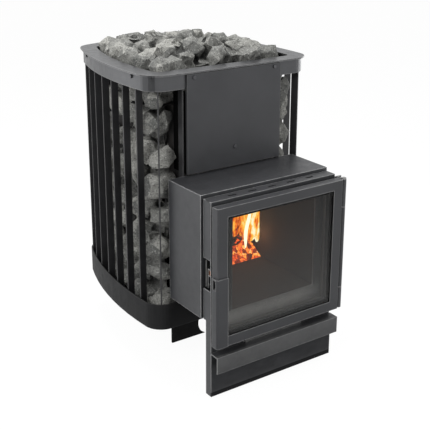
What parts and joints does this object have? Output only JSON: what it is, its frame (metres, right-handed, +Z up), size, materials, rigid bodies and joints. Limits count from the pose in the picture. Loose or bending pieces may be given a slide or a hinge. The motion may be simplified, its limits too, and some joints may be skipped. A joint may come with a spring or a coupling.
{
  "type": "sauna heater stove",
  "caption": "Wood-fired sauna heater stove with a barred stone cage, a fire tunnel, a glass door, a roller catch and an ash drawer.",
  "frame": {"origin": "On the floor under the middle of the stove's box.", "axes": "X to the right seen from the door side, Y from the door to the back, Z up. The door faces -Y."},
  "size_m": [0.522, 0.8168, 0.8605],
  "materials": {
    "graphite_coat": "satin",
    "black_coat": "matte",
    "bare_steel": "satin",
    "copper_roller": "satin",
    "fire_iron": "matte",
    "fire_glass": "gloss",
    "seal_rope": "matte",
    "sauna_stone": "matte"
  },
  "bodies": {
    "stove": {"ash_duct": "black_coat", "band_screw_left_1": "bare_steel", "band_screw_left_2": "bare_steel", "band_screw_right_1": "bare_steel", "band_screw_right_2": "bare_steel", "bar_left_1": "graphite_coat", "bar_left_2": "graphite_coat", "bar_left_3": "graphite_coat", "bar_left_4": "graphite_coat", "bar_left_5": "graphite_coat", "bar_left_6": "graphite_coat", "bar_left_7": "graphite_coat", "bar_left_8": "graphite_coat", "bar_left_9": "graphite_coat", "bar_right_1": "graphite_coat", "bar_right_2": "graphite_coat", "bar_right_3": "graphite_coat", "bar_right_4": "graphite_coat", "bar_right_5": "graphite_coat", "bar_right_6": "graphite_coat", "bar_right_7": "graphite_coat", "bar_right_8": "graphite_coat", "bar_right_9": "graphite_coat", "base_plate": "black_coat", "bottom_band": "graphite_coat", "catch_base": "bare_steel", "door_surround": "graphite_coat", "firebox_shell": "fire_iron", "flame_baffle": "fire_iron", "flue_spigot": "graphite_coat", "front_foot": "black_coat", "front_panel": "graphite_coat", "grate": "fire_iron", "hinge_bracket_bottom": "graphite_coat", "hinge_bracket_top": "graphite_coat", "hinge_pin": "bare_steel", "panel_bracket": "fire_iron", "panel_screw_left": "bare_steel", "panel_screw_lower": "bare_steel", "panel_screw_right": "bare_steel", "rear_foot": "black_coat", "rear_panel": "graphite_coat", "stones_left": "sauna_stone", "stones_right": "sauna_stone", "stones_top": "sauna_stone", "top_band": "graphite_coat", "top_flange": "graphite_coat", "tunnel_casing": "graphite_coat", "tunnel_liner": "fire_iron"},
    "door": {"door_frame": "graphite_coat", "door_glass": "fire_glass", "glass_retainer": "black_coat", "door_seal": "seal_rope", "door_handle": "graphite_coat", "door_strike": "bare_steel", "door_hinge_leaf": "graphite_coat"},
    "drawer": {"drawer_front": "graphite_coat", "ash_tray": "bare_steel"},
    "catch_arm": {"catch_arm": "bare_steel"},
    "catch_roller": {"catch_roller": "copper_roller"}
  },
  "joints": [
    {"name": "door_hinge", "type": "hinge", "parent": "stove", "child": "door", "pos_m": [0.2085, -0.394, 0.33], "axis": [0, 0, 1], "range_deg": [0, 115]},
    {"name": "ash_drawer_slide", "type": "slide", "parent": "stove", "child": "drawer", "axis": [0, -1, 0], "range_m": [0, 0.3]},
    {"name": "catch_arm_hinge", "type": "hinge", "parent": "stove", "child": "catch_arm", "pos_m": [-0.183, -0.3525, 0.3004], "axis": [0, 1, 0], "range_deg": [-7, 0]},
    {"name": "catch_roller_spin", "type": "hinge", "parent": "catch_arm", "child": "catch_roller", "pos_m": [-0.183, -0.363, 0.335], "axis": [0, 0, 1], "continuous": true}
  ]
}
